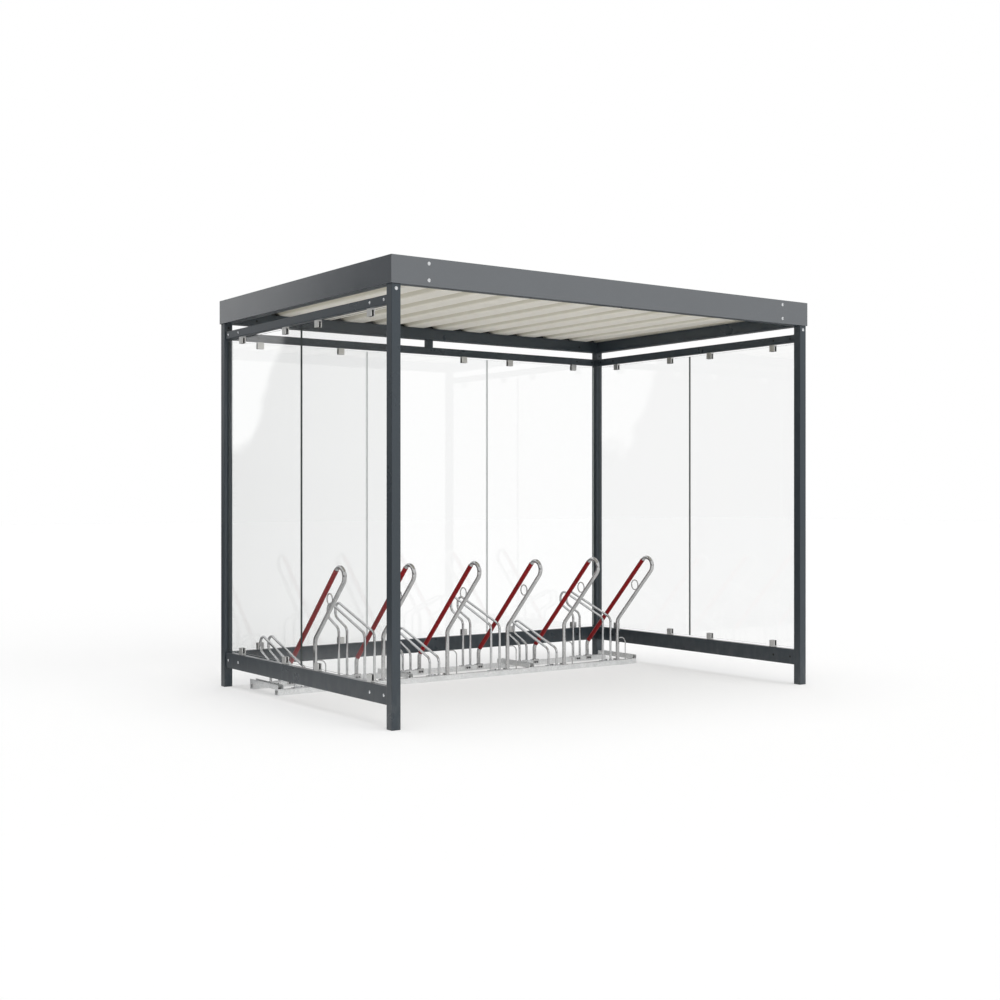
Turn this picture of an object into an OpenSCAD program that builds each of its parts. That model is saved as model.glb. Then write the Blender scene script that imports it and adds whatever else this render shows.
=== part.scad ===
// Flat-roofed bike shelter, open at the front and glazed on three sides, with a six-place bike rack.
// X runs along the open front, Y from front to back and Z up. The origin is on the ground at the
// centre of the plan.

/* [Frame] */
// Width over the posts
frame_w = 3200; // [3120:10:4600]
// Depth over the posts
frame_d = 2170; // [1900:10:3400]
// Height from the ground to the top of the fascia
total_h = 2530; // [2200:10:3200]
// Side of the square post tube
post_s = 56; // [46:1:90]
// Wall of the post tube
post_wall = 4; // [3:0.5:6]
// Thickness of the plate that closes the foot of a post
foot_t = 8; // [4:1:12]

/* [Rails] */
// Thickness of the rail tubes across the wall of glass
rail_t = 40; // [30:1:44]
// Wall of the rail tubes
rail_wall = 3; // [2:0.5:4]
// Height of a top rail
top_rail_h = 50; // [40:1:80]
// Open gap between the roof beams and the top rails
top_gap = 54; // [30:1:150]
// Height of a bottom rail
low_rail_h = 100; // [60:1:140]
// Clear height under the bottom rails
ground_gap = 128; // [60:1:200]
// Width of the short strut that holds up the middle of the rear roof beam
strut_w = 50; // [40:1:80]

/* [Roof] */
// Height of the fascia
fascia_h = 152; // [130:1:260]
// How far the fascia stands proud of the posts
fascia_proud = 7; // [5:1:20]
// Thickness of the fascia sheet
fascia_t = 2; // [1.5:0.5:4]
// Width of the fascia's turned-in top edge
fascia_lip = 45; // [20:1:80]
// Height of the roof beams
beam_h = 80; // [60:1:90]
// Wall of the roof beams
beam_wall = 3; // [2:0.5:5]
// Distance from rib to rib of the roof sheet
rib_pitch = 250; // [200:5:330]
// Height of a rib
rib_h = 35; // [20:1:45]
// Width of a rib at its foot
rib_base = 120; // [70:1:130]
// Width of a rib at its crest
rib_crest = 46; // [30:1:60]
// Thickness of the roof sheet
sheet_t = 1; // [0.8:0.1:2]

/* [Glass] */
// Thickness of a pane
glass_t = 8; // [6:1:12]
// Gap between a pane and the rails above and below it
glass_gap = 12; // [8:1:20]
// Gap between a pane and a post
post_gap = 8; // [5:1:15]
// Gap between two panes
seam_gap = 9; // [5:1:15]
// Length and height of a glass clamp
clamp_s = 45; // [35:1:60]
// Thickness of a glass clamp across the pane
clamp_t = 26; // [22:1:30]
// Thickness of the rubber between a clamp and the glass
pad_t = 1.5; // [1:0.5:3]
// How far the rubber shows at each end of a clamp
pad_show = 1; // [0.5:0.5:3]
// Distance from the end of a pane to the middle of its clamp
clamp_inset = 204; // [80:1:300]

/* [Rack base] */
// How far the base rails run past the middle of the first and the last place
rack_end = 221; // [206:1:250]
// How far the middle of the rack lies to the left of the shelter's middle
rack_shift = 18; // [0:1:30]
// Gap between the rear ends of the wheel holders and the rails behind them
rack_gap = 32.5; // [2:0.5:200]
// Distance between the front and rear feet of a holder
foot_span = 357; // [300:1:430]
// Width of a base rail
base_w = 40; // [36:1:60]
// Height of a base rail
base_h = 35; // [25:1:50]
// Wall of the base rails and cross bars
base_wall = 4; // [3:0.5:5]
// Width of a cross bar
cross_w = 43; // [40:1:50]
// Height of a cross bar
cross_h = 30; // [25:1:40]
// Diameter of the anchor holes in the base rails
anchor_d = 12; // [8:1:14]
// Distance from an anchor hole to the end of its base rail
anchor_inset = 66; // [55:1:75]

/* [Rack bays] */
// Distance from place to place
bay_pitch = 504; // [420:1:515]
// Distance from a wheel holder to the lean arch on its right
arch_dx = 104; // [90:1:125]
// Diameter of the wheel holders' rod
rod_d = 17; // [14:1:20]
// Bend radius of the rod, to its centre line
rod_bend = 48; // [35:1:50]
// Distance between the two loops of a holder at the front
loop_front = 73; // [65:1:80]
// Distance between the two loops of a holder at the rear
loop_rear = 63; // [55:1:70]
// Height of the front corner of a high wheel holder
high_z = 352; // [330:1:400]
// How much lower a low wheel holder is
low_drop = 198; // [150:1:205]
// Slope of a holder's upper bar, in degrees
bar_slope = 20; // [15:1:25]
// Slope of a holder's lower bar, in degrees
lower_slope = 24; // [20:1:28]
// Distance from the rear feet back to the end of a holder
holder_back = 158; // [140:1:200]
// Height between a holder's upper and lower bars at its end
bar_gap = 113; // [108:1:130]

/* [Lean arches] */
// Diameter of the arch tube
arch_d = 27; // [25:1:32]
// Bend radius at the top of an arch, to the centre line
arch_r = 58.5; // [54:0.5:62]
// Bend radius of the two lower corners, to the centre line
knee_r = 60; // [45:1:70]
// Height to the top of an arch
arch_h = 821; // [700:1:900]
// Lean of the arches from upright, in degrees
arch_lean = 44.5; // [42:0.5:47]
// Height of the front corner of an arch
knee_h = 335; // [320:1:360]
// Wall of the sleeve
sleeve_wall = 2; // [1:0.5:5]
// Clearance all round between the sleeve and its arch
sleeve_clear = 0.05; // [0.05:0.05:0.3]
// Diameter of the lock ring's and low hoop's wire
wire_d = 8; // [6:0.5:10]
// Diameter of the lock ring to the wire's centre line
ring_d = 70; // [56:1:74]
// Distance down the arch from its top bend to the lock ring
ring_s = 196; // [120:1:260]
// Height of the low hoop to its centre line
hoop_z = 198; // [160:1:240]
// Reach of the low hoop from the arch
hoop_dx = 76; // [60:1:82]

/* [Foot brackets] */
// Thickness of a bracket's plate and lip
bracket_t = 4; // [3:0.5:5]
// Width of an arch's plate, and of every lip
bracket_w = 48; // [40:1:60]
// How far a holder's plate runs past the middle of each rod
plate_end = 17; // [12:1:25]
// How far a lip reaches down the base rail
lip_drop = 24; // [15:1:25]
// How far a lip stands above the base rail
lip_rise = 10; // [6:1:12]
// Corner radius of a lip's upper corners
lip_r = 8; // [2:1:12]

/* [Hidden] */

rear_panes = 3;
side_panes = 2;
bays = 6;
round_fn = 32;
anthracite = [0.27, 0.30, 0.33];
cream = [0.80, 0.79, 0.75];
glass_tint = [0.85, 0.90, 0.92, 0.35];
zinc = [0.66, 0.67, 0.66];
steel = [0.58, 0.57, 0.56];
sleeve_red = [0.50, 0.10, 0.11];
rubber = [0.08, 0.08, 0.08];

// Levels, from the roof down
fascia_z = total_h - fascia_h;
beam_top = fascia_z + beam_h;
top_rail_top = fascia_z - top_gap;
top_rail_z = top_rail_top - top_rail_h;
low_rail_top = ground_gap + low_rail_h;

// Plan of the frame
half_w = frame_w / 2;
half_d = frame_d / 2;
inner_w = frame_w - 2 * post_s;
inner_d = frame_d - 2 * post_s;
wall_x = half_w - post_s / 2;
wall_y = half_d - post_s / 2;
beam_w = post_s + fascia_proud - fascia_t;
beam_out = fascia_proud - fascia_t;
sheet_clear = 1;
sheet_w = frame_w + 2 * (beam_out - sheet_clear);
sheet_d = frame_d + 2 * (beam_out - sheet_clear);
rib_side = floor((sheet_w / 2 - rib_base / 2 - 20) / rib_pitch);

// Panes and their clamps
side_pane_l = (inner_d - 2 * post_gap - (side_panes - 1) * seam_gap) / side_panes;
rear_pane_l = (inner_w - 2 * post_gap - (rear_panes - 1) * seam_gap) / rear_panes;
glass_z = low_rail_top + glass_gap;
glass_h = top_rail_z - low_rail_top - 2 * glass_gap;

// Rack: the feet stand in the middle of the two base rails
rail_inside = wall_y - rail_t / 2;
rear_foot_y = rail_inside - rack_gap - rod_d / 2 - holder_back;
front_foot_y = rear_foot_y - foot_span;
rack_l = (bays - 1) * bay_pitch + 2 * rack_end;
holder_plate = loop_front + 2 * plate_end;
foot_z = base_h + bracket_t / 2;
ring_off = arch_d / 2 + ring_d / 2;
sleeve_bore = arch_d + 2 * sleeve_clear;

// A bend is this much thicker than its rod, and the rod runs this far into it, so that the two join
bend_swell = 0.2;
bend_lap = 1;

// Middle of a bay, counted from the left
function bay_x(i) = (i - (bays - 1) / 2) * bay_pitch - rack_shift;
function holder_x(i) = bay_x(i) - arch_dx / 2;
function arch_x(i) = bay_x(i) + arch_dx / 2;
// Every second holder is a high one, starting with the second
function holder_drop(i) = i % 2 == 0 ? low_drop : 0;

// Plane geometry for bent rods
function direction(p, q) = atan2(q[1] - p[1], q[0] - p[0]);
function turned(a) = a > 180 ? a - 360 : a < -180 ? a + 360 : a;
function turn_at(path, i) = turned(direction(path[i], path[i + 1]) - direction(path[i - 1], path[i]));
function inner(path, i) = i > 0 && i < len(path) - 1;
function cut_at(path, bends, i) = inner(path, i) ? bends[i] * tan(abs(turn_at(path, i)) / 2) : 0;

// Straight round bar from a point of the plane, in a direction of the plane
module bar(start, angle, length, d)
    translate([start[0], start[1], 0])
        rotate([0, 90, angle])
            cylinder(d = d, h = length, $fn = round_fn);

// Part of a ring round a centre, from one direction of the plane onwards
module elbow(centre, first, turn, bend, d)
    translate([centre[0], centre[1], 0])
        rotate([0, 0, first])
            rotate_extrude(angle = turn, $fn = round_fn)
                translate([bend, 0])
                    circle(d = d + bend_swell, $fn = round_fn);

// Bend that rounds a corner of a path
module corner_bend(corner, heading, turn, bend, d) {
    side = turn > 0 ? 1 : -1;
    cut = bend * tan(abs(turn) / 2);
    centre = corner - cut * [cos(heading), sin(heading)]
        + side * bend * [-sin(heading), cos(heading)];
    elbow(centre, turn > 0 ? heading - 90 : heading + 90 + turn, abs(turn), bend, d);
}

// Round rod along a path in its plane, with a bend at each corner
module bent_rod(path, bends, d) {
    last = len(path) - 1;
    for (i = [0 : last - 1]) {
        heading = direction(path[i], path[i + 1]);
        first = cut_at(path, bends, i) - (i > 0 ? bend_lap : 0);
        final = cut_at(path, bends, i + 1) - (i + 1 < last ? bend_lap : 0);
        run = norm(path[i + 1] - path[i]) - first - final;
        bar(path[i] + first * [cos(heading), sin(heading)], heading, run, d);
    }
    for (i = [1 : last - 1])
        corner_bend(path[i], direction(path[i - 1], path[i]), turn_at(path, i), bends[i], d);
}

// Turns a plane drawing upright, so that its axes become Y and Z at a given X
module upright_yz(x)
    translate([x, 0, 0])
        rotate([90, 0, 90])
            children();

// Rectangular tube along X, open at both ends, from its lower left front corner
module tube_x(l, w, h, wall)
    difference() {
        cube([l, w, h]);
        translate([-1, wall, wall])
            cube([l + 2, w - 2 * wall, h - 2 * wall]);
    }

// The same tube along Y
module tube_y(l, w, h, wall)
    translate([w, 0, 0])
        rotate([0, 0, 90])
            tube_x(l, w, h, wall);

// Square post with a closed foot, from the ground to the roof beams
module post(x, y)
    color(anthracite)
        translate([x, y, 0])
            difference() {
                cube([post_s, post_s, fascia_z]);
                translate([post_wall, post_wall, foot_t])
                    cube([post_s - 2 * post_wall, post_s - 2 * post_wall, fascia_z]);
            }

// Roof beam over the whole front or rear
module beam_x(y)
    color(anthracite)
        translate([-half_w - beam_out, y, fascia_z])
            tube_x(frame_w + 2 * beam_out, beam_w, beam_h, beam_wall);

// Roof beam between the front and rear beams
module beam_y(x)
    color(anthracite)
        translate([x, -half_d - beam_out + beam_w, fascia_z])
            tube_y(frame_d + 2 * beam_out - 2 * beam_w, beam_w, beam_h, beam_wall);

// Folded fascia sheet along X, with its face at y = 0 and its top edge turned towards +Y
module fascia(length, lip_length)
    color(anthracite)
        translate([0, 0, fascia_z]) {
            translate([-length / 2, 0, 0])
                cube([length, fascia_t, fascia_h]);
            translate([-lip_length / 2, 0, fascia_h - fascia_t])
                cube([lip_length, fascia_lip, fascia_t]);
        }

// Fascia over the whole front or rear, its face towards -Y
module fascia_x()
    translate([0, -half_d - fascia_proud, 0])
        fascia(frame_w + 2 * fascia_proud, frame_w + 2 * beam_out);

// Fascia between the front and rear fascias, its face towards -X
module fascia_y()
    translate([-half_w - fascia_proud, 0, 0])
        rotate([0, 0, -90])
            fascia(frame_d + 2 * beam_out, frame_d + 2 * fascia_proud - 2 * fascia_lip);

// Ribbed sheet that spans from the front beam to the rear beam
module roof_sheet() {
    feet = [for (k = [-rib_side : rib_side])
        for (p = [[-rib_base / 2, 0], [-rib_crest / 2, rib_h], [rib_crest / 2, rib_h], [rib_base / 2, 0]])
            [k * rib_pitch + p[0], p[1]]];
    under = concat([[-sheet_w / 2, 0]], feet, [[sheet_w / 2, 0]]);
    over = [for (i = [len(under) - 1 : -1 : 0]) under[i] + [0, sheet_t]];
    color(cream)
        translate([0, sheet_d / 2, beam_top])
            rotate([90, 0, 0])
                linear_extrude(sheet_d)
                    polygon(concat(under, over));
}

// Rail along X between two posts, its lower edge at z
module rail_x(y, z, h)
    color(anthracite)
        translate([-inner_w / 2, y - rail_t / 2, z])
            tube_x(inner_w, rail_t, h, rail_wall);

// Rail along Y between two posts, its lower edge at z
module rail_y(x, z, h)
    color(anthracite)
        translate([x - rail_t / 2, -inner_d / 2, z])
            tube_y(inner_d, rail_t, h, rail_wall);

// Short strut between the rear top rail and the rear roof beam
module rear_strut()
    color(anthracite)
        translate([-strut_w / 2, wall_y - rail_t / 2, top_rail_top])
            cube([strut_w, rail_t, top_gap]);

// First end of a pane, counted from the low end of its wall
function pane_start(i, pane_l, count) =
    (i - count / 2) * (pane_l + seam_gap) + seam_gap / 2;

// Pane in the rear wall
module pane_x(i)
    color(glass_tint)
        translate([pane_start(i, rear_pane_l, rear_panes), wall_y - glass_t / 2, glass_z])
            cube([rear_pane_l, glass_t, glass_h]);

// Pane in a side wall
module pane_y(x, i)
    color(glass_tint)
        translate([x - glass_t / 2, pane_start(i, side_pane_l, side_panes), glass_z])
            cube([glass_t, side_pane_l, glass_h]);

// Clamp under a rail, round the top edge of a pane that lies along X, centred on its own middle
module clamp() {
    slot = glass_t + 2 * pad_t;
    difference() {
        translate([-clamp_s / 2, -clamp_t / 2, -clamp_s])
            cube([clamp_s, clamp_t, clamp_s]);
        translate([-clamp_s / 2 - 1, -slot / 2, -clamp_s - 1])
            cube([clamp_s + 2, slot, clamp_s + 1 - glass_gap + pad_t]);
    }
}

// Rubber liner between a clamp and the pane
module clamp_rubber() {
    slot = glass_t + 2 * pad_t;
    length = clamp_s + 2 * pad_show;
    difference() {
        translate([-length / 2, -slot / 2, -clamp_s])
            cube([length, slot, clamp_s - glass_gap + pad_t]);
        translate([-length / 2 - 1, -glass_t / 2, -clamp_s - 1])
            cube([length + 2, glass_t, clamp_s + 1 - glass_gap]);
    }
}

// Puts a clamp or rubber at both ends of each pane, above and below it
module at_clamps(pane_l, count)
    for (i = [0 : count - 1], end = [clamp_inset, pane_l - clamp_inset])
        translate([pane_start(i, pane_l, count) + end, 0, 0]) {
            translate([0, 0, top_rail_z])
                children();
            translate([0, 0, low_rail_top])
                mirror([0, 0, 1])
                    children();
        }

module at_side_clamps(x)
    translate([x, 0, 0])
        rotate([0, 0, 90])
            at_clamps(side_pane_l, side_panes)
                children();

module at_rear_clamps()
    translate([0, wall_y, 0])
        at_clamps(rear_pane_l, rear_panes)
            children();

module clamp_rubbers()
    color(rubber) {
        at_side_clamps(-wall_x)
            clamp_rubber();
        at_side_clamps(wall_x)
            clamp_rubber();
        at_rear_clamps()
            clamp_rubber();
    }

// Base rail: a channel that lies with its open side down, with an anchor hole near each end
module base_rail(y)
    color(zinc)
        translate([-rack_shift, y, 0])
            difference() {
                translate([-rack_l / 2, -base_w / 2, 0])
                    cube([rack_l, base_w, base_h]);
                translate([-rack_l / 2 - 1, -base_w / 2 + base_wall, -1])
                    cube([rack_l + 2, base_w - 2 * base_wall, base_h - base_wall + 1]);
                for (side = [-1, 1])
                    translate([side * (rack_l / 2 - anchor_inset), 0, 0])
                        cylinder(d = anchor_d, h = base_h + 1, $fn = round_fn);
            }

// Cross bars at the ends of the rack and one place to each side of its middle: channels that lie
// over both base rails with their open side up
module rack_cross_bars() {
    length = foot_span + base_w;
    end_x = rack_l / 2 - cross_w / 2;
    color(zinc)
        for (x = [-end_x, -bay_pitch, bay_pitch, end_x])
            translate([x - rack_shift - cross_w / 2, front_foot_y - base_w / 2, base_h])
                difference() {
                    cube([cross_w, length, cross_h]);
                    translate([base_wall, -1, base_wall])
                        cube([cross_w - 2 * base_wall, length + 2, cross_h]);
                }
}

// Face of a lip, centred on X, with its two upper corners rounded
module lip_face() {
    translate([-bracket_w / 2, -lip_drop])
        square([bracket_w, lip_drop + lip_rise - lip_r]);
    translate([-bracket_w / 2 + lip_r, lip_rise - 2 * lip_r])
        square([bracket_w - 2 * lip_r, 2 * lip_r]);
    for (side = [-1, 1])
        translate([side * (bracket_w / 2 - lip_r), lip_rise - lip_r])
            circle(r = lip_r, $fn = round_fn);
}

// Foot bracket on each base rail: a plate on top of the rail and a lip down its inner face
module foot_brackets(x, plate_w)
    for (side = [0, 1])
        translate([x, (front_foot_y + rear_foot_y) / 2, base_h])
            mirror([0, side, 0])
                translate([0, foot_span / 2 - base_w / 2, 0]) {
                    rotate([90, 0, 0])
                        linear_extrude(bracket_t)
                            lip_face();
                    translate([-plate_w / 2, -bracket_t, 0])
                        cube([plate_w, base_w + bracket_t, bracket_t]);
                }

// One loop of a wheel holder, drawn in the plane of Y and Z from its front foot
module holder_loop(drop) {
    front_z = high_z - drop;
    end_y = foot_span + holder_back;
    end_z = front_z + tan(bar_slope) * end_y;
    low_end = end_z - bar_gap;
    path = [
        [0, foot_z], [0, front_z], [end_y, end_z], [end_y, low_end],
        [foot_span, low_end - tan(lower_slope) * holder_back], [foot_span, foot_z]
    ];
    bent_rod(path, [for (p = path) rod_bend], rod_d);
}

// Two loops that stand a wheel's width apart, closer at the rear than at the front
module wheel_holder(i) {
    splay = atan((loop_front - loop_rear) / 2 / foot_span);
    color(zinc) {
        for (side = [-1, 1])
            translate([holder_x(i) + side * loop_front / 2, front_foot_y, 0])
                rotate([0, 0, side * splay])
                    upright_yz(0)
                        holder_loop(holder_drop(i));
        foot_brackets(holder_x(i), holder_plate);
    }
}

// Side view of an arch: its slope, the ends of its two slanted runs and the centre of its top bend
lean_dir = [-sin(arch_lean), cos(arch_lean)];
lean_side = [cos(arch_lean), sin(arch_lean)];
top_z = arch_h - arch_d / 2 - arch_r;
front_knee = [front_foot_y, knee_h];
front_run = (top_z - arch_r * lean_side[1] - knee_h) / lean_dir[1];
front_end = front_knee + front_run * lean_dir;
top_centre = front_end + arch_r * lean_side;
rear_end = front_end + 2 * arch_r * lean_side;
rear_run = (rear_foot_y - rear_end[0]) / -lean_dir[0];
rear_knee = rear_end - rear_run * lean_dir;

// Tube arch that a bike leans on, with its lock ring and its low hoop
module lean_arch(i) {
    front = [[front_foot_y, foot_z], front_knee, front_end + bend_lap * lean_dir];
    rear = [[rear_foot_y, foot_z], rear_knee, rear_end + bend_lap * lean_dir];
    ring_c = front_end - ring_s * lean_dir + ring_off * lean_side;
    hoop = [[0, hoop_z], [hoop_dx, hoop_z], [hoop_dx, base_h]];
    color(steel) {
        upright_yz(arch_x(i)) {
            bent_rod(front, [0, knee_r, 0], arch_d);
            elbow(top_centre, arch_lean, 180, arch_r, arch_d);
            bent_rod(rear, [0, knee_r, 0], arch_d);
            translate([ring_c[0], ring_c[1], 0])
                rotate_extrude($fn = round_fn)
                    translate([ring_d / 2, 0])
                        circle(d = wire_d, $fn = round_fn);
        }
        translate([arch_x(i), front_foot_y, 0])
            rotate([90, 0, 0])
                bent_rod(hoop, [0, hoop_dx / 2, 0], wire_d);
        foot_brackets(arch_x(i), bracket_w);
    }
}

// Plastic sleeve on the rear run of each arch, just clear of the bends
module arch_sleeves() {
    start = rear_knee + (knee_r * tan(arch_lean / 2) + bend_lap) * lean_dir;
    run = norm(rear_end - start) - bend_lap;
    color(sleeve_red)
        for (i = [0 : bays - 1])
            upright_yz(arch_x(i))
                difference() {
                    bar(start, 90 + arch_lean, run, sleeve_bore + 2 * sleeve_wall);
                    bar(start - lean_dir, 90 + arch_lean, run + 2, sleeve_bore);
                }
}

post(-half_w, -half_d);  // post_front_left
post(half_w - post_s, -half_d);  // post_front_right
post(-half_w, half_d - post_s);  // post_rear_left
post(half_w - post_s, half_d - post_s);  // post_rear_right
beam_x(-half_d - beam_out);  // roof_beam_front
beam_x(half_d + beam_out - beam_w);  // roof_beam_rear
beam_y(-half_w - beam_out);  // roof_beam_left
beam_y(half_w + beam_out - beam_w);  // roof_beam_right
fascia_x();  // fascia_front
mirror([0, 1, 0]) fascia_x();  // fascia_rear
fascia_y();  // fascia_left
mirror([1, 0, 0]) fascia_y();  // fascia_right
roof_sheet();
rail_y(-wall_x, top_rail_z, top_rail_h);  // top_rail_left
rail_y(wall_x, top_rail_z, top_rail_h);  // top_rail_right
rail_x(wall_y, top_rail_z, top_rail_h);  // top_rail_rear
rear_strut();
rail_y(-wall_x, ground_gap, low_rail_h);  // bottom_rail_left
rail_y(wall_x, ground_gap, low_rail_h);  // bottom_rail_right
rail_x(wall_y, ground_gap, low_rail_h);  // bottom_rail_rear
pane_y(-wall_x, 0);  // glass_left_front
pane_y(-wall_x, 1);  // glass_left_rear
pane_y(wall_x, 0);  // glass_right_front
pane_y(wall_x, 1);  // glass_right_rear
pane_x(0);  // glass_rear_left
pane_x(1);  // glass_rear_middle
pane_x(2);  // glass_rear_right
color(zinc) at_side_clamps(-wall_x) clamp();  // clamps_left
color(zinc) at_side_clamps(wall_x) clamp();  // clamps_right
color(zinc) at_rear_clamps() clamp();  // clamps_rear
clamp_rubbers();
base_rail(front_foot_y);  // rack_rail_front
base_rail(rear_foot_y);  // rack_rail_rear
rack_cross_bars();
wheel_holder(0);  // wheel_holder_1
wheel_holder(1);  // wheel_holder_2
wheel_holder(2);  // wheel_holder_3
wheel_holder(3);  // wheel_holder_4
wheel_holder(4);  // wheel_holder_5
wheel_holder(5);  // wheel_holder_6
lean_arch(0);  // lean_arch_1
lean_arch(1);  // lean_arch_2
lean_arch(2);  // lean_arch_3
lean_arch(3);  // lean_arch_4
lean_arch(4);  // lean_arch_5
lean_arch(5);  // lean_arch_6
arch_sleeves();
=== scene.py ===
"""Bike shelter: a flat roof on four posts, walls of clamped glass and a six-place bike rack."""
import math

import bpy
import numpy as np
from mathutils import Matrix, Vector


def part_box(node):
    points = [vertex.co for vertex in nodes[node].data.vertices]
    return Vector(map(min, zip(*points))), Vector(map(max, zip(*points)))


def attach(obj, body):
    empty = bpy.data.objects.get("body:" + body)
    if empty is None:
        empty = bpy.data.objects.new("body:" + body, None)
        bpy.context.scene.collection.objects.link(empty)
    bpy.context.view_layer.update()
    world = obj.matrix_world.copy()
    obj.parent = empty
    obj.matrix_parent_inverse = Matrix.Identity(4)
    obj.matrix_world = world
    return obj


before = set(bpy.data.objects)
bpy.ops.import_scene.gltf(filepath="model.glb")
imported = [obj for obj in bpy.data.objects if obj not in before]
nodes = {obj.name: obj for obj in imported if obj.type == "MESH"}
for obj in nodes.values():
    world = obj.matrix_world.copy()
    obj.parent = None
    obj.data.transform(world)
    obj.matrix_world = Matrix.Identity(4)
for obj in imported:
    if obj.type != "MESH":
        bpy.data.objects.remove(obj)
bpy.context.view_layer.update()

# ---------------------------------------------------------------- posts
# Four square steel tubes that carry the roof. They are powder coated in a dark blue-grey, the
# tube's rolled corners are a few millimetres round, and the coat wears thin and dusty at the foot.
POSTS = ["post_front_left", "post_front_right", "post_rear_left", "post_rear_right"]


def rgb(red, green, blue):
    """A colour given as it looks on a screen, 0 to 255, turned into linear light."""
    out = []
    for value in (red, green, blue):
        value /= 255.0
        out.append(value / 12.92 if value <= 0.04045 else ((value + 0.055) / 1.055) ** 2.4)
    return (*out, 1.0)


def opaque(value):
    """A grey number as a colour with full alpha; a colour stays as it is."""
    return value if isinstance(value, tuple) else (value, value, value, 1)


def shade(colour, factor):
    """A colour made darker or lighter by a factor."""
    return tuple(part * factor for part in colour[:3]) + (1,)


def new_material(name, **sockets):
    """An empty Principled material; plain numbers and colours go straight onto its sockets."""
    made = bpy.data.materials.new(name)
    made.use_nodes = True
    tree = made.node_tree
    shader = tree.nodes["Principled BSDF"]
    for socket, value in sockets.items():
        shader.inputs[socket.replace("_", " ")].default_value = value
    return made, tree, shader


def add(tree, kind, settings=None, **inputs):
    """Adds one node, with its own settings and its unlinked inputs by name."""
    node = tree.nodes.new(kind)
    for key, value in (settings or {}).items():
        setattr(node, key, value)
    for key, value in inputs.items():
        node.inputs[key.replace("_", " ")].default_value = value
    return node


def fill(tree, node, index, value):
    """Gives one input of a node a socket, a number or a colour."""
    if isinstance(value, bpy.types.NodeSocket):
        tree.links.new(value, node.inputs[index])
    else:
        node.inputs[index].default_value = value


def ramp(tree, factor, stops):
    """A colour ramp over a factor, given as (place, colour or grey) pairs in rising order."""
    node = tree.nodes.new("ShaderNodeValToRGB")
    band = node.color_ramp.elements
    band[0].position, band[1].position = stops[0][0], stops[-1][0]
    band[0].color, band[1].color = opaque(stops[0][1]), opaque(stops[-1][1])
    for place, colour in stops[1:-1]:
        band.new(place).color = opaque(colour)
    tree.links.new(factor, node.inputs["Fac"])
    return node.outputs["Color"]


def mix(tree, factor, a, b, blend="MIX"):
    """Mixes two colours; each may be a socket or a plain colour."""
    node = add(tree, "ShaderNodeMix", {"data_type": "RGBA", "blend_type": blend})
    for index, value in ((0, factor), (6, a), (7, b)):
        fill(tree, node, index, value)
    return node.outputs[2]


def noise(tree, scale, detail=4.0, stretch=(1, 1, 1), roughness=0.55):
    """Noise in the piece's own metres, stretched along its axes; scale is cells per metre."""
    place = add(tree, "ShaderNodeTexCoord")
    turn = add(tree, "ShaderNodeMapping", Scale=stretch)
    out = add(tree, "ShaderNodeTexNoise", Scale=scale, Detail=detail, Roughness=roughness)
    tree.links.new(place.outputs["Object"], turn.inputs["Vector"])
    tree.links.new(turn.outputs["Vector"], out.inputs["Vector"])
    return out.outputs["Fac"]


def bump(tree, height, strength, distance):
    """A bump from a height, in metres."""
    node = add(tree, "ShaderNodeBump", Strength=strength, Distance=distance)
    tree.links.new(height, node.inputs["Height"])
    return node.outputs["Normal"]


def height_above_ground(tree):
    """The height of a point in metres, read from the piece's own coordinates."""
    place = add(tree, "ShaderNodeTexCoord")
    split = add(tree, "ShaderNodeSeparateXYZ")
    tree.links.new(place.outputs["Object"], split.inputs["Vector"])
    return split.outputs["Z"]


def wire(tree, shader, colour, rough, normal):
    """Links a changing base colour, roughness and normal to the shader."""
    tree.links.new(colour, shader.inputs["Base Color"])
    tree.links.new(rough, shader.inputs["Roughness"])
    tree.links.new(normal, shader.inputs["Normal"])


def powder_coat(name, colour, dusty, roughness, ior=1.5):
    """Powder coat: fine orange-peel bump, faint clouding, and dust and splashes near the ground."""
    made, tree, shader = new_material(name, Metallic=0.0, IOR=ior)
    tone = ramp(tree, noise(tree, 3.0, 5.0), [(0.35, shade(colour, 0.93)), (0.65, colour)])
    tone = mix(tree, ramp(tree, noise(tree, 420.0, 2.0), [(0.45, 0.0), (0.75, 0.10)]), tone, dusty)
    low = ramp(tree, height_above_ground(tree), [(0.0, 0.35), (0.30, 0.0)])
    patch = ramp(tree, noise(tree, 26.0, 6.0, (1, 1, 0.4)), [(0.42, 0.0), (0.68, 1.0)])
    tone = mix(tree, mix(tree, 1.0, low, patch, "MULTIPLY"), tone, dusty)
    rough = ramp(tree, noise(tree, 4.0, 3.0), [(0.3, roughness - 0.01), (0.7, roughness + 0.03)])
    wire(tree, shader, tone, rough, bump(tree, noise(tree, 480.0, 2.0), 0.25, 0.00003))
    return made


CORNER_FROM = math.radians(35)
CRISP_FROM = math.radians(60)


def dress(names, material, edge=0.0, segments=3):
    """Gives nodes their finish; an edge over zero rounds their sharp corners by that radius."""
    for name in names:
        piece = nodes[name]
        piece.data.materials.clear()
        piece.data.materials.append(material)
        piece.data.polygons.foreach_set("use_smooth", [True] * len(piece.data.polygons))
        weld = piece.modifiers.new("joined faces", "WELD")
        weld.merge_threshold = 0.00002
        if edge:
            round_off = piece.modifiers.new("rounded corners", "BEVEL")
            round_off.width = edge
            round_off.segments = segments
            round_off.limit_method = "ANGLE"
            round_off.angle_limit = CORNER_FROM
            round_off.use_clamp_overlap = True
            split = piece.modifiers.new("crisp corners", "EDGE_SPLIT")
            split.split_angle = CRISP_FROM
            flat = piece.modifiers.new("flat faces", "WEIGHTED_NORMAL")
            flat.weight = 100
        else:
            split = piece.modifiers.new("crisp corners", "EDGE_SPLIT")
            split.split_angle = CORNER_FROM


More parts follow.
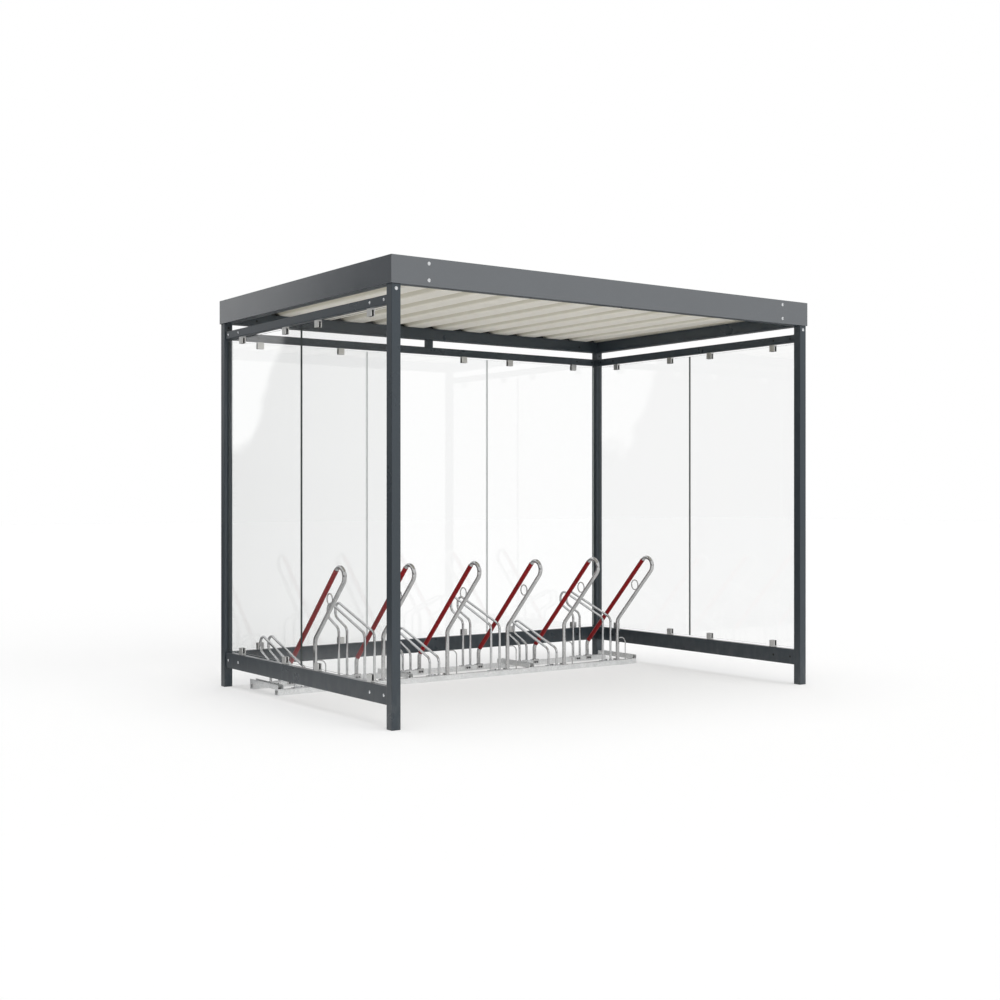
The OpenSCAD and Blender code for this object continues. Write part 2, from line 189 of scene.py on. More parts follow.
FRAME_DARK = rgb(46, 55, 62)
FRAME_DUST = rgb(104, 108, 108)
post_coat = powder_coat("blue-grey powder coat", FRAME_DARK, FRAME_DUST, 0.28)
dress(POSTS, post_coat, edge=0.003)

# ---------------------------------------------------------------- roof beams
# Square-edged steel tubes that lie on the posts and carry the roof sheet. They have the posts'
# coat, and the front and rear beams run over the ends of the side beams.
BEAMS = ["roof_beam_front", "roof_beam_rear", "roof_beam_left", "roof_beam_right"]
dress(BEAMS, post_coat, edge=0.003)

# ---------------------------------------------------------------- fascia
# Folded sheet steel that hides the roof's edge. It has a smoother coat of the posts' blue-grey, made
# slightly lighter as painted sheen, and its folds are tighter than a tube's corners.
FASCIAS = ["fascia_front", "fascia_rear", "fascia_left", "fascia_right"]
# The fascia's base colour is the posts' blue-grey made lighter: painted sheen, not a lighter paint.
fascia_coat_painted_lighter = powder_coat("fascia powder coat", rgb(62, 68, 74), rgb(84, 89, 92), 0.15, 2.1)
dress(FASCIAS, fascia_coat_painted_lighter, edge=0.0009, segments=2)

# ---------------------------------------------------------------- dome bolts
# Stainless dome bolts with a washer hold the fascia to the beams, the beams to the posts and the
# rails to the posts. The head is a shallow dome with a small socket.
BOLT_R = 0.0075
BOLT_H = 0.0042
WASHER_R = 0.0100
WASHER_T = 0.0012
SOCKET_R = 0.0026
SOCKET_DEEP = 0.0026
SHOULDER = 0.0008
RIM = 0.0003


def revolved(profile, turns=24):
    """Points and faces of a profile of (radius, height) pairs turned about the Z axis; each ring
    is radius times cosine and sine of the angle, and rings of no radius close to one point."""
    profile = np.asarray(profile, float)
    angle = np.linspace(0, 2 * np.pi, turns, endpoint=False)
    ring = np.stack([np.cos(angle), np.sin(angle)], -1)
    points = np.concatenate(
        [profile[:, None, :1] * ring[None], np.repeat(profile[:, None, 1:], turns, 1)], -1
    ).reshape(-1, 3)
    row = np.arange(len(profile) - 1)[:, None] * turns
    col = np.arange(turns)[None]
    nxt = (col + 1) % turns
    faces = np.stack([row + col, row + nxt, row + nxt + turns, row + col + turns], -1)
    return points, faces.reshape(-1, 4)


def turned_to(points, axis):
    """Turns points so that their Z axis lies along a row axis, such as (0, -1, 0)."""
    axis = np.asarray(axis, float)
    side = np.array([0.0, 0.0, 1.0]) if abs(axis[2]) < 0.5 else np.array([1.0, 0.0, 0.0])
    first = np.cross(side, axis)
    first /= np.linalg.norm(first)
    return points @ np.stack([first, np.cross(axis, first), axis])


def surface(name, parts, material, smooth_angle=40.0):
    """One object from many (points, quads) parts; doubled points are merged, so poles close."""
    points, faces, base = [], [], 0
    for part_points, part_faces in parts:
        points.append(part_points)
        faces.append(part_faces + base)
        base += len(part_points)
    mesh = bpy.data.meshes.new(name)
    mesh.from_pydata(np.concatenate(points).tolist(), [], np.concatenate(faces).tolist())
    mesh.validate()
    mesh.materials.append(material)
    mesh.polygons.foreach_set("use_smooth", [True] * len(mesh.polygons))
    piece = bpy.data.objects.new(name, mesh)
    bpy.context.scene.collection.objects.link(piece)
    weld = piece.modifiers.new("joined points", "WELD")
    weld.merge_threshold = 0.000005
    split = piece.modifiers.new("crisp edges", "EDGE_SPLIT")
    split.split_angle = math.radians(smooth_angle)
    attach(piece, "root")
    return piece


def dome_bolt(place, axis, scale=1.0):
    """A washer, a dome whose height follows a circle's arc, and a round socket sunk in it."""
    arc = np.linspace(0, 1, 7)
    dome_r = SOCKET_R + (BOLT_R - SOCKET_R) * (1 - arc)
    foot = WASHER_T + SHOULDER
    dome_z = foot + (BOLT_H - foot) * np.sqrt(1 - (1 - arc) ** 2)
    head = [(WASHER_R, 0.0), (WASHER_R, WASHER_T * 0.8), (WASHER_R - RIM, WASHER_T), (BOLT_R, WASHER_T)]
    points, faces = revolved(head + list(zip(dome_r, dome_z)))
    floor_z = BOLT_H - SOCKET_DEEP
    socket, socket_faces = revolved([(SOCKET_R, BOLT_H), (SOCKET_R * 0.95, floor_z + 0.0004), (0.0, floor_z)])
    points = np.concatenate([points, socket]) * scale
    faces = np.concatenate([faces, socket_faces + len(points) - len(socket)])
    return turned_to(points, axis) + np.asarray(place, float), faces


def stainless(name, tone, roughness):
    """Stainless steel or a cast metal, with fine grain and a little darker mottling at random."""
    made, tree, shader = new_material(name, Metallic=1.0)
    colour = ramp(tree, noise(tree, 300.0, 4.0), [(0.30, shade(tone, 0.8)), (0.55, tone)])
    rough = ramp(tree, noise(tree, 120.0), [(0.3, roughness), (0.7, roughness + 0.10)])
    wire(tree, shader, colour, rough, bump(tree, noise(tree, 1500.0, 2.0), 0.15, 0.0002))
    return made


bolt_steel = stainless("stainless bolt", rgb(226, 228, 230), 0.16)
front_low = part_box("fascia_front")[0]
post_low, post_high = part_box("post_front_left")
frame_half = -post_low.x
FASCIA_BOLT_IN = 0.230
FASCIA_BOLT_LEVELS = (0.032, 0.122)
fascia_bolts = []
for side in (-1, 1):
    for level in FASCIA_BOLT_LEVELS:
        across = side * (frame_half - FASCIA_BOLT_IN)
        fascia_bolts.append(dome_bolt((across, front_low.y, front_low.z + level), (0, -1, 0)))
        fascia_bolts.append(dome_bolt((across, -front_low.y, front_low.z + level), (0, 1, 0)))
surface("fascia_dome_bolts", fascia_bolts, bolt_steel)

# ---------------------------------------------------------------- post bolts
# One bolt from outside near the head of each post. Where it ends, and where each lower fascia bolt
# ends behind its beam, only the mouth of a hole shows inside: a thin black disc, painted shade for the hole's
# dark inside.
POST_BOLT_DROP = 0.027
HOLE_R = 0.0075


def dark_hole(place, axis):
    """A thin black disc for a hole, whose black is painted shade for the hole's dark inside: a flat ring with a
    slightly hollow middle, flush in its face.
    """
    rim = [(0.0, 0.0), (HOLE_R, 0.0), (HOLE_R, 0.0003), (HOLE_R * 0.8, 0.0004)]
    points, faces = revolved(rim + [(HOLE_R * 0.7, 0.0001), (0.0, 0.0001)], 20)
    return turned_to(points, axis) + np.asarray(place, float), faces


def dull_black(name, tone, roughness):
    """Black plastic, foam or rubber, a little dusty and uneven; for bolt holes its black is painted shade."""
    made, tree, shader = new_material(name, Metallic=0.0)
    colour = ramp(tree, noise(tree, 160.0, 5.0), [(0.35, tone), (0.75, shade(tone, 2.2))])
    rough = ramp(tree, noise(tree, 60.0), [(0.3, roughness), (0.7, roughness + 0.12)])
    wire(tree, shader, colour, rough, bump(tree, noise(tree, 1800.0, 2.0), 0.2, 0.0002))
    return made


# The bolt holes' black is painted shade for the dark inside of each hole.
hole_painted_shade = dull_black("black plug", rgb(9, 10, 11), 0.7)
post_side = post_high.x - post_low.x
post_mid = frame_half - post_side / 2
depth_half = -post_low.y
beam_inner = -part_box("roof_beam_front")[1].y
post_bolts, post_holes = [], []
for side in (-1, 1):
    head = post_high.z - POST_BOLT_DROP
    post_bolts.append(dome_bolt((side * post_mid, -depth_half, head), (0, -1, 0)))
    post_bolts.append(dome_bolt((side * post_mid, depth_half, head), (0, 1, 0)))
    for end in (-1, 1):
        post_holes.append(dark_hole((side * post_mid, end * (depth_half - post_side), head), (0, -end, 0)))
        beam_hole = (side * (frame_half - FASCIA_BOLT_IN), end * beam_inner, front_low.z + FASCIA_BOLT_LEVELS[0])
        post_holes.append(dark_hole(beam_hole, (0, -end, 0)))
surface("post_dome_bolts", post_bolts, bolt_steel)
surface("post_bolt_holes", post_holes, hole_painted_shade)

# ---------------------------------------------------------------- roof sheet
# Trapezoid steel sheet, coil coated in cream, laid over the front and rear beams and held by screws
# with washers. The ribs' darker cream stands in for the shade in their hollows.
made, tree, shader = new_material("cream coil coating", Metallic=0.0, IOR=1.5)
streak = noise(tree, 5.0, 6.0, (9.0, 0.5, 3.0))
cream = mix(tree, ramp(tree, streak, [(0.42, 0.0), (0.75, 0.35)]), rgb(242, 238, 227), rgb(228, 224, 212))
cream = mix(tree, ramp(tree, noise(tree, 60.0, 6.0), [(0.55, 0.0), (0.8, 0.25)]), cream, rgb(186, 178, 162))
sheet_low, sheet_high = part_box("roof_sheet")
in_rib = add(tree, "ShaderNodeMapRange", From_Min=sheet_low.z + 0.0015, From_Max=sheet_low.z + 0.010)
tree.links.new(height_above_ground(tree), in_rib.inputs["Value"])
cream = mix(tree, ramp(tree, in_rib.outputs[0], [(0.0, 0.0), (1.0, 0.80)]), cream, rgb(198, 193, 176))
rough = ramp(tree, noise(tree, 12.0), [(0.3, 0.34), (0.7, 0.46)])
wire(tree, shader, cream, rough, bump(tree, noise(tree, 500.0, 2.0), 0.15, 0.0002))
dress(["roof_sheet"], made)

SCREW_R = 0.0048
rear_beam_low, rear_beam_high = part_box("roof_beam_rear")
RIB_PITCH = 0.250
screws = []
screw_washer = [(0.0, 0.0), (0.0095, 0.0), (0.0095, 0.0022), (0.0080, 0.0030)]
screw_head = [(SCREW_R, 0.0030), (SCREW_R, 0.0070), (SCREW_R * 0.8, 0.0078), (0.0, 0.0078)]
screw_points, screw_faces = revolved(screw_washer + screw_head, 12)
SHEET_T = 0.001
for rib in range(-6, 6):
    for y in (-1, 1):
        beam_mid = y * (rear_beam_high.y + rear_beam_low.y) / 2
        spot = np.array([(rib + 0.5) * RIB_PITCH, beam_mid, sheet_low.z + SHEET_T])
        screws.append((screw_points + spot, screw_faces))
surface("roof_sheet_screws", screws, bolt_steel)

# ---------------------------------------------------------------- rib fillers
# Black closed-cell foam, cut to the sheet's profile and laid on the front and rear beams, so that
# rain and birds stay out of the ribs. The free ends bulge a little where the sheet squeezes them.
RIB_BASE = 0.120
RIB_CREST = 0.046
RIB_LAST = 6
FOAM_PLAY = 0.0006
FOAM_INNER = 0.034
FOAM_OUTER = 0.004


def foam_filler(middle, y_from, y_to):
    """A trapezoid with rounded corners carried along Y: across it a closed outline, along it four
    stations whose outline shrinks a little at both ends, and a point closes each end."""
    tall = sheet_high.z - sheet_low.z - SHEET_T - FOAM_PLAY
    base, crest = RIB_BASE / 2, RIB_CREST / 2
    right = [(base - 0.0014, 0.0), (base - 0.0022, 0.0016)]
    right += [(crest + 0.0006, tall - 0.0030), (crest - 0.0020, tall)]
    left = [(-across, up) for across, up in reversed(right)]
    outline = np.array(left[-1:] + right + left[:-1])
    centre = np.array([0.0, tall / 2])
    along = np.array([0.0, 0.0, 0.35, 0.65, 1.0, 1.0])
    shrink = np.array([0.0, 0.94, 1.0, 1.0, 0.94, 0.0])
    bulge = np.array([0.0, 0.003, 0.0, 0.0, -0.003, 0.0])
    ring = centre + (outline - centre) * shrink[:, None, None]
    y = y_from + (y_to - y_from) * along + bulge
    up = sheet_low.z + 0.0002 + ring[..., 1]
    points = np.stack([middle + ring[..., 0], np.broadcast_to(y[:, None], up.shape), up], -1).reshape(-1, 3)
    count = len(outline)
    row = np.arange(len(along) - 1)[:, None] * count
    col = np.arange(count)[None]
    nxt = (col + 1) % count
    return points, np.stack([row + col, row + count + col, row + count + nxt, row + nxt], -1).reshape(-1, 4)


fillers = []
for rib in range(-RIB_LAST, RIB_LAST + 1):
    inner, outer = rear_beam_low.y + FOAM_INNER, rear_beam_high.y - FOAM_OUTER
    fillers.append(foam_filler(rib * RIB_PITCH, inner, outer))
    fillers.append(foam_filler(rib * RIB_PITCH, -outer, -inner))
foam_black = dull_black("black foam", rgb(30, 31, 31), 0.8)
surface("rib_foam_fillers", fillers, foam_black, 50.0)

# ---------------------------------------------------------------- rails and strut
# Rectangular tubes between the posts, above and below the glass, with the posts' coat. Two dome
# bolts show at each end outside, and inside two holes, drawn as black discs of painted shade.
RAILS = ["%s_rail_%s" % (level, side) for level in ("top", "bottom") for side in ("left", "right", "rear")]
dress(RAILS + ["rear_strut"], post_coat, edge=0.0028)
RAIL_BOLT_IN = (0.040, 0.190)
RAIL_BOLT_SIZE = 0.9
rail_bolts, rail_holes = [], []
for name in RAILS:
    low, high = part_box(name)
    level = (low.z + high.z) / 2
    along = 0 if name.endswith("rear") else 1
    across = 1 - along
    outside = 1 if (low[across] + high[across]) > 0 else -1
    outer = high[across] if outside > 0 else low[across]
    inner = low[across] if outside > 0 else high[across]
    for end, sign in ((low[along], 1), (high[along], -1)):
        for inset in RAIL_BOLT_IN:
            spot = [0.0, 0.0, level]
            spot[along] = end + sign * inset
            axis = [0, 0, 0]
            axis[across] = outside
            spot[across] = outer
            rail_bolts.append(dome_bolt(spot, axis, RAIL_BOLT_SIZE))
            spot = list(spot)
            spot[across] = inner
            rail_holes.append(dark_hole(spot, [-a for a in axis]))
surface("rail_dome_bolts", rail_bolts, bolt_steel)
surface("rail_bolt_holes", rail_holes, hole_painted_shade)

# ---------------------------------------------------------------- glass
# Clear toughened glass, 8 mm, with ground edges. The faces mirror the surroundings faintly and
# carry a little dust. The ground edges are dull: light grey on the rear panes, and dark on the side
# panes as painted shade.
SIDE_PANES = ["glass_left_front", "glass_left_rear", "glass_right_front", "glass_right_rear"]
REAR_PANES = ["glass_rear_left", "glass_rear_middle", "glass_rear_right"]


def blend(tree, factor, first, second):
    """Mixes two shaders by a factor, which is a socket."""
    node = add(tree, "ShaderNodeMixShader")
    for index, value in enumerate((factor, first, second)):
        tree.links.new(value, node.inputs[index])
    return node.outputs[0]


def calculate(tree, operation, *values):
    """A Math node on sockets or numbers; MULTIPLY_ADD is the first times the second plus the third."""
    node = add(tree, "ShaderNodeMath", {"operation": operation})
    for index, value in enumerate(values):
        fill(tree, node, index, value)
    return node.outputs[0]


def pane_glass(name, across, edge_colour_and_painted_shade):
    """Glass whose broad faces (the ones that look along the given axis) are clear, and whose
    ground edges are a given dull colour, which on the side panes is dark as painted shade. Light passes the
    clear part unbent, so the shade stays soft."""
    made, tree, shader = new_material(name, Roughness=0.35, IOR=1.5)
    place = add(tree, "ShaderNodeTexCoord")
    split = add(tree, "ShaderNodeSeparateXYZ")
    tree.links.new(place.outputs["Normal"], split.inputs["Vector"])
    facing = calculate(tree, "ABSOLUTE", split.outputs[across])
    broad = ramp(tree, facing, [(0.45, 0.0), (0.75, 1.0)])
    shader.inputs["Base Color"].default_value = edge_colour_and_painted_shade
    clear = add(tree, "ShaderNodeBsdfTransparent", Color=(0.993, 0.995, 0.994, 1))
    mirror = add(tree, "ShaderNodeBsdfGlossy", Color=opaque(1), Roughness=0.02)
    slant = add(tree, "ShaderNodeLayerWeight", Blend=0.5)
    fifth = calculate(tree, "POWER", slant.outputs["Facing"], 5.0)
    gloss = calculate(tree, "MULTIPLY_ADD", fifth, 0.96, 0.04)
    skin = blend(tree, gloss, clear.outputs[0], mirror.outputs[0])
    film = add(tree, "ShaderNodeBsdfDiffuse", Color=opaque(0.8))
    dust = ramp(tree, noise(tree, 14.0, 8.0, (1, 1, 0.5), 0.65), [(0.45, 0.001), (0.8, 0.006)])
    dusty = blend(tree, dust, skin, film.outputs[0])
    whole = blend(tree, broad, shader.outputs[0], dusty)
    tree.links.new(whole, tree.nodes["Material Output"].inputs["Surface"])
    return made


# The side panes' dark edge colour is painted shade; the rear panes' edges are light grey.
dress(SIDE_PANES, pane_glass("side pane glass", "X", rgb(40, 48, 48)))
dress(REAR_PANES, pane_glass("rear pane glass", "Y", rgb(176, 184, 182)))

# ---------------------------------------------------------------- glass clamps
# Cast metal clamps along the rails. Each has a plate on either side of the pane, with black
# rubber between plate and glass.
CLAMPS = ["clamps_left", "clamps_right", "clamps_rear"]
dress(CLAMPS, stainless("cast clamp", rgb(214, 214, 212), 0.28), edge=0.0014, segments=2)
dress(["clamp_rubbers"], dull_black("clamp rubber", rgb(24, 24, 25), 0.6))

# ---------------------------------------------------------------- rack base
# Hot-dip galvanised channels: two base rails on the ground and four cross bars over them. Zinc
# leaves a mottled, frosty grey with small crystals and duller runs.


def galvanised(name, light, dark, roughness, spangle, metallic=1.0):
    """Zinc: small crystals of slightly different grey, broad cloudy patches and dull white bloom."""
    made, tree, shader = new_material(name, Metallic=metallic)
    place = add(tree, "ShaderNodeTexCoord")
    crystal = add(tree, "ShaderNodeTexVoronoi", Scale=spangle, Randomness=1.0)
    tree.links.new(place.outputs["Object"], crystal.inputs["Vector"])
    grey = add(tree, "ShaderNodeRGBToBW")
    tree.links.new(crystal.outputs["Color"], grey.inputs["Color"])
    tone = mix(tree, ramp(tree, grey.outputs[0], [(0.2, 0.0), (0.8, 0.55)]), light, dark)
    tone = mix(tree, ramp(tree, noise(tree, 11.0, 6.0), [(0.42, 0.0), (0.72, 0.45)]), tone, dark)
    tone = mix(tree, ramp(tree, noise(tree, 34.0, 6.0), [(0.60, 0.0), (0.8, 0.35)]), tone, rgb(230, 230, 229))
    tree.links.new(tone, shader.inputs["Base Color"])
    frosty = ramp(tree, grey.outputs[0], [(0.2, 0.0), (0.8, 1.0)])
    rough = mix(tree, frosty, opaque(roughness), opaque(roughness + 0.08))
    wire(tree, shader, tone, rough, bump(tree, noise(tree, 200.0, 3.0), 0.25, 0.00018))
    return made


base_zinc = galvanised("galvanised base", rgb(236, 237, 237), rgb(200, 202, 202), 0.28, 150.0, 0.6)
BASE = ["rack_rail_front", "rack_rail_rear", "rack_cross_bars"]
dress(BASE, base_zinc, edge=0.0015, segments=2)

# ---------------------------------------------------------------- rack bolts
# Hexagon bolts: one holds each end of a cross bar to its base rail, and two hold each foot
# bracket's lip to the rail's inner face. The zinc on them is darker.
HEX_R = 0.0075
HEX_H = 0.0055
HEX_WASHER_R = 0.0088
HEX_WASHER_T = 0.0014
HEX_CHAMFER = 0.0008


def hex_bolt(place, axis, scale=1.0):
    """A washer and a head that is a six-sided prism with its top corners turned off."""
    top = HEX_WASHER_T + HEX_H
    washer, washer_faces = revolved(
        [(0.0, 0.0), (HEX_WASHER_R, 0.0), (HEX_WASHER_R, HEX_WASHER_T), (0.0, HEX_WASHER_T)], 18
    )
    sides = [(0.0, HEX_WASHER_T), (HEX_R, HEX_WASHER_T), (HEX_R, top - HEX_CHAMFER)]
    head, head_faces = revolved(sides + [(HEX_R * 0.88, top), (0.0, top)], 6)
    points = np.concatenate([washer, head]) * scale
    faces = np.concatenate([washer_faces, head_faces + len(washer)])
    return turned_to(points, axis) + np.asarray(place, float), faces


bolt_zinc = stainless("dark zinc bolt", rgb(96, 98, 98), 0.4)
rail_f_low, rail_f_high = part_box("rack_rail_front")
rail_r_low, rail_r_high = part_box("rack_rail_rear")
cross_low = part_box("rack_cross_bars")[0]
front_foot = (rail_f_low.y + rail_f_high.y) / 2
rear_foot = (rail_r_low.y + rail_r_high.y) / 2
HOLDER_NAMES = ["wheel_holder_%d" % k for k in range(1, 7)]
ARCH_NAMES = ["lean_arch_%d" % k for k in range(1, 7)]
PLACES = [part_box(name) for name in HOLDER_NAMES]
ARCHES = [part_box(name) for name in ARCH_NAMES]
CROSS_W = 0.043
CROSS_WALL = 0.004
place_pitch = PLACES[1][0].x - PLACES[0][0].x
rack_mid = (rail_f_low.x + rail_f_high.x) / 2
end_reach = (rail_f_high.x - rail_f_low.x) / 2 - CROSS_W / 2
BRACKET_BOLT_X = 0.0095
BRACKET_BOLT_Z = 0.022
BRACKET_HALF = 0.024
LIP_T = 0.004
CROSS_BOLT_SIZE = 1.1
BRACKET_BOLT_SIZE = 0.8
rack_bolts = []
for x in (-end_reach, -place_pitch, place_pitch, end_reach):
    for y in (front_foot, rear_foot):
        spot = (rack_mid + x, y, cross_low.z + CROSS_WALL)
        rack_bolts.append(hex_bolt(spot, (0, 0, 1), CROSS_BOLT_SIZE))
foot_xs = [(low.x + high.x) / 2 for low, high in PLACES] + [low.x + BRACKET_HALF for low, high in ARCHES]
for x in foot_xs:
    for step in (-BRACKET_BOLT_X, BRACKET_BOLT_X):
        for y, way in ((rail_f_high.y + LIP_T, 1), (rail_r_low.y - LIP_T, -1)):
            rack_bolts.append(hex_bolt((x + step, y, BRACKET_BOLT_Z), (0, way, 0), BRACKET_BOLT_SIZE))
surface("rack_hex_bolts", rack_bolts, bolt_zinc, 30.0)

# ---------------------------------------------------------------- wheel holders
# Each holder is two loops of galvanised round bar, welded to folded brackets on the base rails.
# Every second one is high, so that handlebars don't meet.
rod_zinc = galvanised("galvanised rod", rgb(214, 215, 216), rgb(170, 171, 172), 0.09, 300.0)
dress(HOLDER_NAMES, rod_zinc)

# ---------------------------------------------------------------- lean arches
# A bent steel tube that the bicycle's frame leans on, with a ring for the lock and a low wire
# hoop, all galvanised after welding.
tube_zinc = galvanised("galvanised tube", rgb(205, 205, 205), rgb(158, 158, 158), 0.11, 260.0)
dress(ARCH_NAMES, tube_zinc)

# ---------------------------------------------------------------- weld beads
# A bead runs round each rod and tube where it meets its bracket. It is rippled where the welder
# stepped on, and it has the same zinc over it.
ROD_R = 0.0085
TUBE_R = 0.0135
BRACKET_TOP = rail_f_high.z + LIP_T
TUBE_BEAD = 0.0035


def weld_bead(x, y, z, radius, size=0.0028, ripples=22):
    """A ring round a rod: its small circle's radius swells and shrinks by a sine of the angle
    round the rod, once for each step of the weld."""
    around = np.linspace(0, 2 * np.pi, ripples * 3, endpoint=False)
    tube = np.linspace(0, 2 * np.pi, 8, endpoint=False)
    a, t = np.meshgrid(around, tube, indexing="ij")
    fat = size * (1 + 0.16 * np.sin(ripples * a))
    out = radius + fat * np.cos(t)
    points = np.stack([x + out * np.cos(a), y + out * np.sin(a), z + fat * np.sin(t)], -1).reshape(-1, 3)
    i = np.arange(len(around))[:, None]
    j = np.arange(len(tube))[None]
    ni, nj, m = (i + 1) % len(around), (j + 1) % len(tube), len(tube)
    return points, np.stack([i * m + j, ni * m + j, ni * m + nj, i * m + nj], -1).reshape(-1, 4)


beads = []
FRONT_HALF = 0.0365
REAR_HALF = 0.0315
for low, high in PLACES:
    middle = (low.x + high.x) / 2
    for side in (-1, 1):
        beads.append(weld_bead(middle + side * FRONT_HALF, front_foot, BRACKET_TOP, ROD_R))
        beads.append(weld_bead(middle + side * REAR_HALF, rear_foot, BRACKET_TOP, ROD_R))
for low, high in ARCHES:
    middle = low.x + BRACKET_HALF
    beads.append(weld_bead(middle, front_foot, BRACKET_TOP, TUBE_R, TUBE_BEAD))
    beads.append(weld_bead(middle, rear_foot, BRACKET_TOP, TUBE_R, TUBE_BEAD))
surface("weld_beads", beads, rod_zinc, 60.0)

# ---------------------------------------------------------------- arch sleeves
# Dark red plastic sleeves shrunk onto the arches' rear runs, so that a leaning frame isn't
# scratched. The plastic is smooth, a little streaky along its length and scuffed in places.
made, tree, shader = new_material("dark red sleeve", Metallic=0.0, IOR=1.32)
red = mix(tree, ramp(tree, noise(tree, 30.0, 5.0), [(0.4, 0.0), (0.75, 1.0)]), rgb(148, 12, 18), rgb(126, 9, 15))
scuffs = ramp(tree, noise(tree, 110.0, 6.0, (1, 0.4, 0.4)), [(0.6, 0.0), (0.8, 0.4)])
red = mix(tree, scuffs, red, rgb(134, 34, 35))
rough = ramp(tree, noise(tree, 50.0), [(0.3, 0.36), (0.7, 0.50)])
wire(tree, shader, red, rough, bump(tree, noise(tree, 240.0, 3.0), 0.2, 0.0004))
dress(["arch_sleeves"], made)

# ---------------------------------------------------------------- studio
# A pale floor that keeps the shelter's soft shadow, an even white surround, two soft suns
# and a camera at standing chest height, off the shelter's front left corner.
FLOOR_HALF = 60.0
FLOOR_Z = -0.0005
floor_mesh = bpy.data.meshes.new("studio_floor")
corners = [(x * FLOOR_HALF, y * FLOOR_HALF, FLOOR_Z) for x, y in ((-1, -1), (1, -1), (1, 1), (-1, 1))]
floor_mesh.from_pydata(corners, [], [(0, 1, 2, 3)])
floor = bpy.data.objects.new("studio_floor", floor_mesh)
bpy.context.scene.collection.objects.link(floor)
made, tree, shader = new_material("pale floor", Base_Color=opaque(0.96), Roughness=0.9)
floor_mesh.materials.append(made)


def seen_directly(tree):
    """One where the camera sees the surface, straight, in a mirror or through glass, else nothing."""
    path = add(tree, "ShaderNodeLightPath")
    straight = calculate(tree, "MAXIMUM", path.outputs["Is Camera Ray"], path.outputs["Is Glossy Ray"])
    return calculate(tree, "MAXIMUM", straight, path.outputs["Is Transmission Ray"])


# In gloss the floor is pale in front and turns grey behind the shelter.
SHADE_KEPT = 0.62
YARD_NEAR = 0.6
YARD_FAR = 3.0
YARD_GREY = 0.15
GLOW = 0.39
shaded = add(tree, "ShaderNodeBsdfDiffuse", Color=opaque(SHADE_KEPT))
glow = add(tree, "ShaderNodeEmission", Color=opaque(1), Strength=GLOW)
both = add(tree, "ShaderNodeAddShader")
tree.links.new(shaded.outputs[0], both.inputs[0])
tree.links.new(glow.outputs[0], both.inputs[1])
place = add(tree, "ShaderNodeTexCoord")
reach = add(tree, "ShaderNodeSeparateXYZ")
tree.links.new(place.outputs["Object"], reach.inputs[0])
dimmer = add(tree, "ShaderNodeMapRange", From_Min=YARD_NEAR, From_Max=YARD_FAR, To_Max=1 - YARD_GREY)
tree.links.new(reach.outputs["Y"], dimmer.inputs["Value"])
glossy = add(tree, "ShaderNodeLightPath").outputs["Is Glossy Ray"]
in_gloss = calculate(tree, "MULTIPLY", dimmer.outputs[0], glossy)
dark = add(tree, "ShaderNodeEmission", Strength=0.0)
yard = blend(tree, in_gloss, both.outputs[0], dark.outputs[0])
choice = blend(tree, seen_directly(tree), shader.outputs[0], yard)
tree.links.new(choice, tree.nodes["Material Output"].inputs["Surface"])

# What shines on the shelter is an even white surround, and what a camera sees is pure white. Gloss
# shows a white sky over a grey line of roofs and trees, whose height in degrees runs with azimuth.
SKYLINE = [
    (-180, 6), (-150, 11), (-110, 3), (-84, -3), (-66, -3), (-45, -3), (-36, 5), (0, 10), (30, 6),
    (40, 1), (90, 1), (104, 2), (115.0, 2), (116.2, 3), (116.8, 7.5), (118.5, 10.5), (120.5, 16),
    (126, 20), (127, 3), (131, 2), (133, 9), (138, 10), (144, 20), (160, 20), (180, 6),
]
SKYLINE_FLOOR = 10.0
SKYLINE_GREY = 0.12
RAGGED = 0.8
SKY_EDGE = 0.4
world = bpy.data.worlds.new("white surround")
bpy.context.scene.world = world
world.use_nodes = True
tree = world.node_tree
lit = tree.nodes["Background"]
lit.inputs["Color"].default_value = opaque(1)
lit.inputs["Strength"].default_value = 0.45
white = add(tree, "ShaderNodeBackground", Color=opaque(1), Strength=1.0)
looked = add(tree, "ShaderNodeTexCoord").outputs["Generated"]
split = add(tree, "ShaderNodeSeparateXYZ")
tree.links.new(looked, split.inputs[0])
azimuth = calculate(tree, "ARCTAN2", split.outputs["Y"], split.outputs["X"])
share = add(tree, "ShaderNodeMapRange", From_Min=-math.pi, From_Max=math.pi)
tree.links.new(azimuth, share.inputs["Value"])
stops = [((turn + 180) / 360, (rise + SKYLINE_FLOOR) / 90) for turn, rise in SKYLINE]
roofs = ramp(tree, share.outputs[0], stops)
leaves = add(tree, "ShaderNodeTexNoise", Scale=26.0, Detail=7.0, Roughness=0.6)
tree.links.new(looked, leaves.inputs["Vector"])
elevation = calculate(tree, "ARCSINE", split.outputs["Z"])
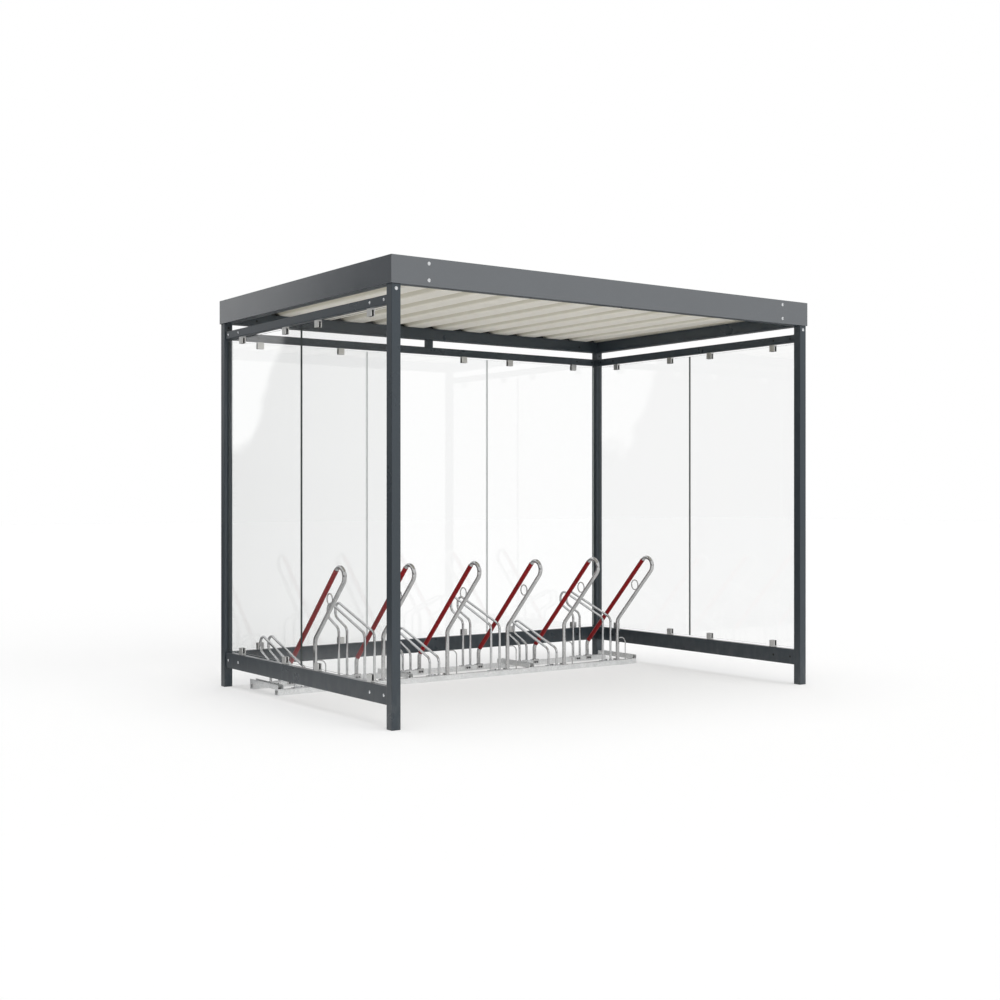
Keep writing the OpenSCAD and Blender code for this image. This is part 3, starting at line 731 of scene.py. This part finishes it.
ragged = calculate(tree, "MULTIPLY_ADD", leaves.outputs["Fac"], 4 * math.radians(RAGGED), elevation)
over = calculate(tree, "MULTIPLY_ADD", roofs, -math.pi / 2, ragged)
level = 2 * RAGGED - SKYLINE_FLOOR
low_edge, high_edge = math.radians(level - SKY_EDGE), math.radians(level + SKY_EDGE)
sky = add(tree, "ShaderNodeMapRange", From_Min=low_edge, From_Max=high_edge)
tree.links.new(over, sky.inputs["Value"])
tone = mix(tree, sky.outputs[0], opaque(SKYLINE_GREY), opaque(1))
glossy = add(tree, "ShaderNodeLightPath").outputs["Is Glossy Ray"]
tree.links.new(mix(tree, glossy, opaque(1), tone), white.inputs["Color"])
choice = blend(tree, seen_directly(tree), lit.outputs[0], white.outputs[0])
tree.links.new(choice, tree.nodes["World Output"].inputs["Surface"])


def soft_sun(name, azimuth, elevation, strength, spread):
    """Even light from one direction of the sky, spread over a wide disc so that shadows are soft.
    It isn't mirrored in gloss, where only the surround with its skyline and the floor show."""
    light = bpy.data.lights.new(name, "SUN")
    light.energy = strength
    light.angle = math.radians(spread)
    lamp = bpy.data.objects.new(name, light)
    az, el = math.radians(azimuth), math.radians(elevation)
    toward = Vector((math.cos(el) * math.cos(az), math.cos(el) * math.sin(az), math.sin(el)))
    lamp.rotation_euler = toward.to_track_quat("Z", "Y").to_euler()
    lamp.visible_glossy = False
    bpy.context.scene.collection.objects.link(lamp)


soft_sun("front light", -80.0, 25.0, 1.41, 60.0)
soft_sun("top light", 0.0, 90.0, 1.10, 50.0)

CAMERA_PLACE = (-5.413, -7.419, 1.233)
CAMERA_TURN = 35.5
camera_data = bpy.data.cameras.new("camera")
camera_data.lens = 50.04
camera_data.sensor_width = 36.0
camera_data.shift_y = -0.0015
camera = bpy.data.objects.new("camera", camera_data)
camera.location = CAMERA_PLACE
camera.rotation_euler = (math.radians(90), 0, -math.radians(CAMERA_TURN))
bpy.context.scene.collection.objects.link(camera)
bpy.context.scene.camera = camera
bpy.context.scene.view_settings.view_transform = "Standard"

bpy.context.view_layer.update()
